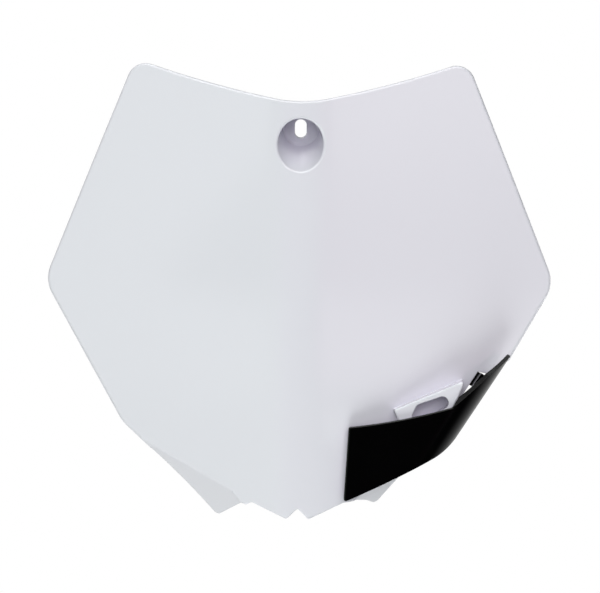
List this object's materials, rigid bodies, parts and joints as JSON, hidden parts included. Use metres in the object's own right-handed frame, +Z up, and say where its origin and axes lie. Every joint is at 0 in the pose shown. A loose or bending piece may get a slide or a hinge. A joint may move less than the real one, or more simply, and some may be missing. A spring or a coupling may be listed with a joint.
{
  "type": "racing number board",
  "caption": "White moulded racing number board with a ridged face, a recessed screw cup, folded legs at its chin and a black bent hose guide at its lower right.",
  "frame": {"origin": "middle of the screw slot, on the rear face of the cup floor", "axes": "+X to the right as seen from the front, -Y out of the front along the fixing screw, +Z up; the face leans back at its top"},
  "size_m": [0.2707, 0.1157, 0.2256],
  "materials": {
    "plate": "gloss",
    "guide": "gloss"
  },
  "bodies": {
    "root": {"number_plate": "plate", "hose_guide": "guide"}
  },
  "joints": []
}
